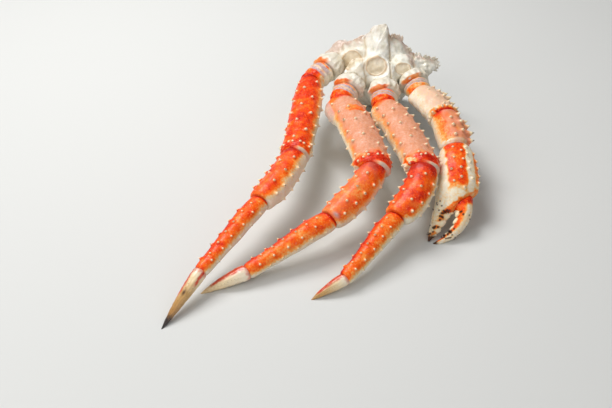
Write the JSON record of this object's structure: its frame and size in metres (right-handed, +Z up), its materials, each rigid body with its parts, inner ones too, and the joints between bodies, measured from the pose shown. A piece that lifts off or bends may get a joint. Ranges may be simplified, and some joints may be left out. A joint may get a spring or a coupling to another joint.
{
  "type": "king crab leg cluster",
  "caption": "Cooked king crab section: a pale split body shoulder with spiny orange-red walking legs and a claw, laid belly down.",
  "frame": {"origin": "centre of the footprint's bounding box, on the floor", "axes": "+Y towards the shoulder, from the leg tips; +X towards the claw, the crab's front; +Z up"},
  "size_m": [0.3478, 0.4706, 0.1165],
  "materials": {
    "shell_red": "wet cooked shell, satin",
    "shell_cream": "wet cooked shell, satin",
    "body_shell": "moist, thin body shell",
    "horn_tan": "smooth horn"
  },
  "bodies": {
    "root": {"shoulder": "body_shell", "claw_coxa": "body_shell", "claw_basis": "shell_red", "claw_merus": "shell_red", "claw_carpus": "shell_red", "claw_palm": "shell_cream", "claw_finger": "shell_cream", "leg_1_coxa": "body_shell", "leg_1_basis": "shell_red", "leg_1_merus": "shell_red", "leg_1_carpus": "shell_red", "leg_1_propodus": "shell_red", "leg_1_dactyl": "horn_tan", "leg_2_coxa": "body_shell", "leg_2_basis": "shell_red", "leg_2_merus": "shell_red", "leg_2_carpus": "shell_red", "leg_2_propodus": "shell_red", "leg_2_dactyl": "horn_tan", "leg_3_coxa": "body_shell", "leg_3_basis": "shell_red", "leg_3_merus": "shell_red", "leg_3_carpus": "shell_red", "leg_3_propodus": "shell_red", "leg_3_dactyl": "horn_tan"}
  },
  "joints": []
}
